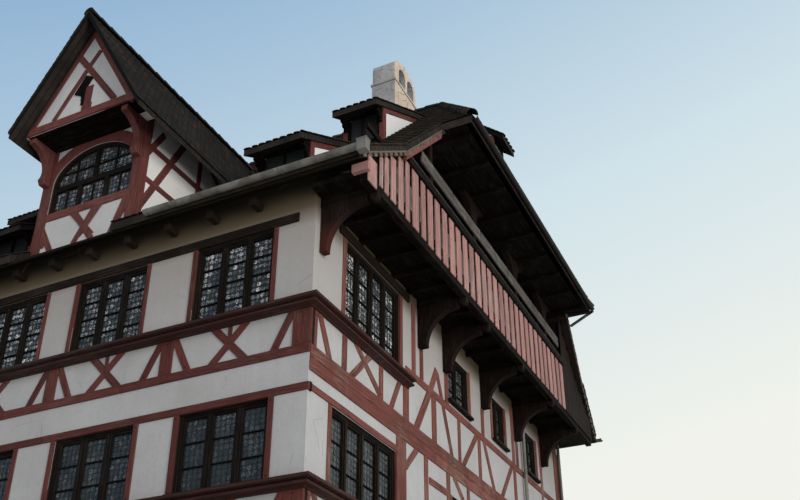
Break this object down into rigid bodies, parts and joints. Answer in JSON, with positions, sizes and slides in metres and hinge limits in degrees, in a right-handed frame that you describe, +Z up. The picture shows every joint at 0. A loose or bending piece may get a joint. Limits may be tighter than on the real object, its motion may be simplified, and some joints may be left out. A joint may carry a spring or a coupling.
{
  "type": "half timbered house",
  "caption": "Tall half timbered house on sandstone storeys, with leaded windows, a jettied dormer, half hipped tiled roof and a bracketed gallery under the gable.",
  "frame": {"origin": "middle of the walls' footprint, on the ground", "axes": "+Z up, +X out of the gable wall that carries the gallery, -Y out of the front eaves wall"},
  "size_m": [15.275, 17, 22.33],
  "materials": {
    "sandstone": "rough, coursed blocks",
    "plaster": "rough lime plaster",
    "red_timber": "weathered oxide red paint",
    "red_boards": "faded red boards",
    "dark_timber": "dark stained wood",
    "window_frame": "dark painted wood",
    "grey_timber": "grey weathered boards",
    "floor_boards": "worn boards",
    "roof_tile": "weathered plain tiles",
    "leaded_glass": "small leaded panes",
    "sheet_metal": "dull weathered sheet",
    "chimney_plaster": "worn plaster over brick"
  },
  "bodies": {
    "root": {"stone_front": "sandstone", "stone_right": "sandstone", "stone_back": "sandstone", "stone_left": "sandstone", "portal": "sandstone", "door": "dark_timber", "wall_front": "plaster", "wall_right": "plaster", "wall_back": "plaster", "wall_left": "plaster", "attic_gables": "plaster", "floors": "floor_boards", "frame_front": "red_timber", "frame_right": "red_timber", "frame_back": "red_timber", "frame_left": "red_timber", "casements_front": "window_frame", "casements_right": "window_frame", "casements_back": "window_frame", "casements_left": "window_frame", "glass_front": "leaded_glass", "glass_right": "leaded_glass", "glass_back": "leaded_glass", "glass_left": "leaded_glass", "sills_lower": "red_timber", "sills_upper": "red_timber", "gallery_floor": "dark_timber", "gallery_brackets": "red_timber", "gallery_parapet": "red_boards", "gallery_rails": "grey_timber", "gallery_posts": "red_timber", "gallery_ceiling": "dark_timber", "roof_front": "roof_tile", "roof_back": "roof_tile", "half_hips": "roof_tile", "ridge_tiles": "roof_tile", "verge_timbers": "red_timber", "eaves_boards": "dark_timber", "beam_ends": "dark_timber", "gutters": "sheet_metal", "downpipes": "sheet_metal", "chimney": "chimney_plaster", "dormer_walls": "plaster", "dormer_frame": "red_timber", "dormer_gable": "red_timber", "dormer_roof": "roof_tile", "dormer_brackets": "red_timber", "dormer_window": "window_frame", "small_dormers": "red_timber", "small_dormer_roofs": "roof_tile", "small_dormer_windows": "leaded_glass"}
  },
  "joints": []
}
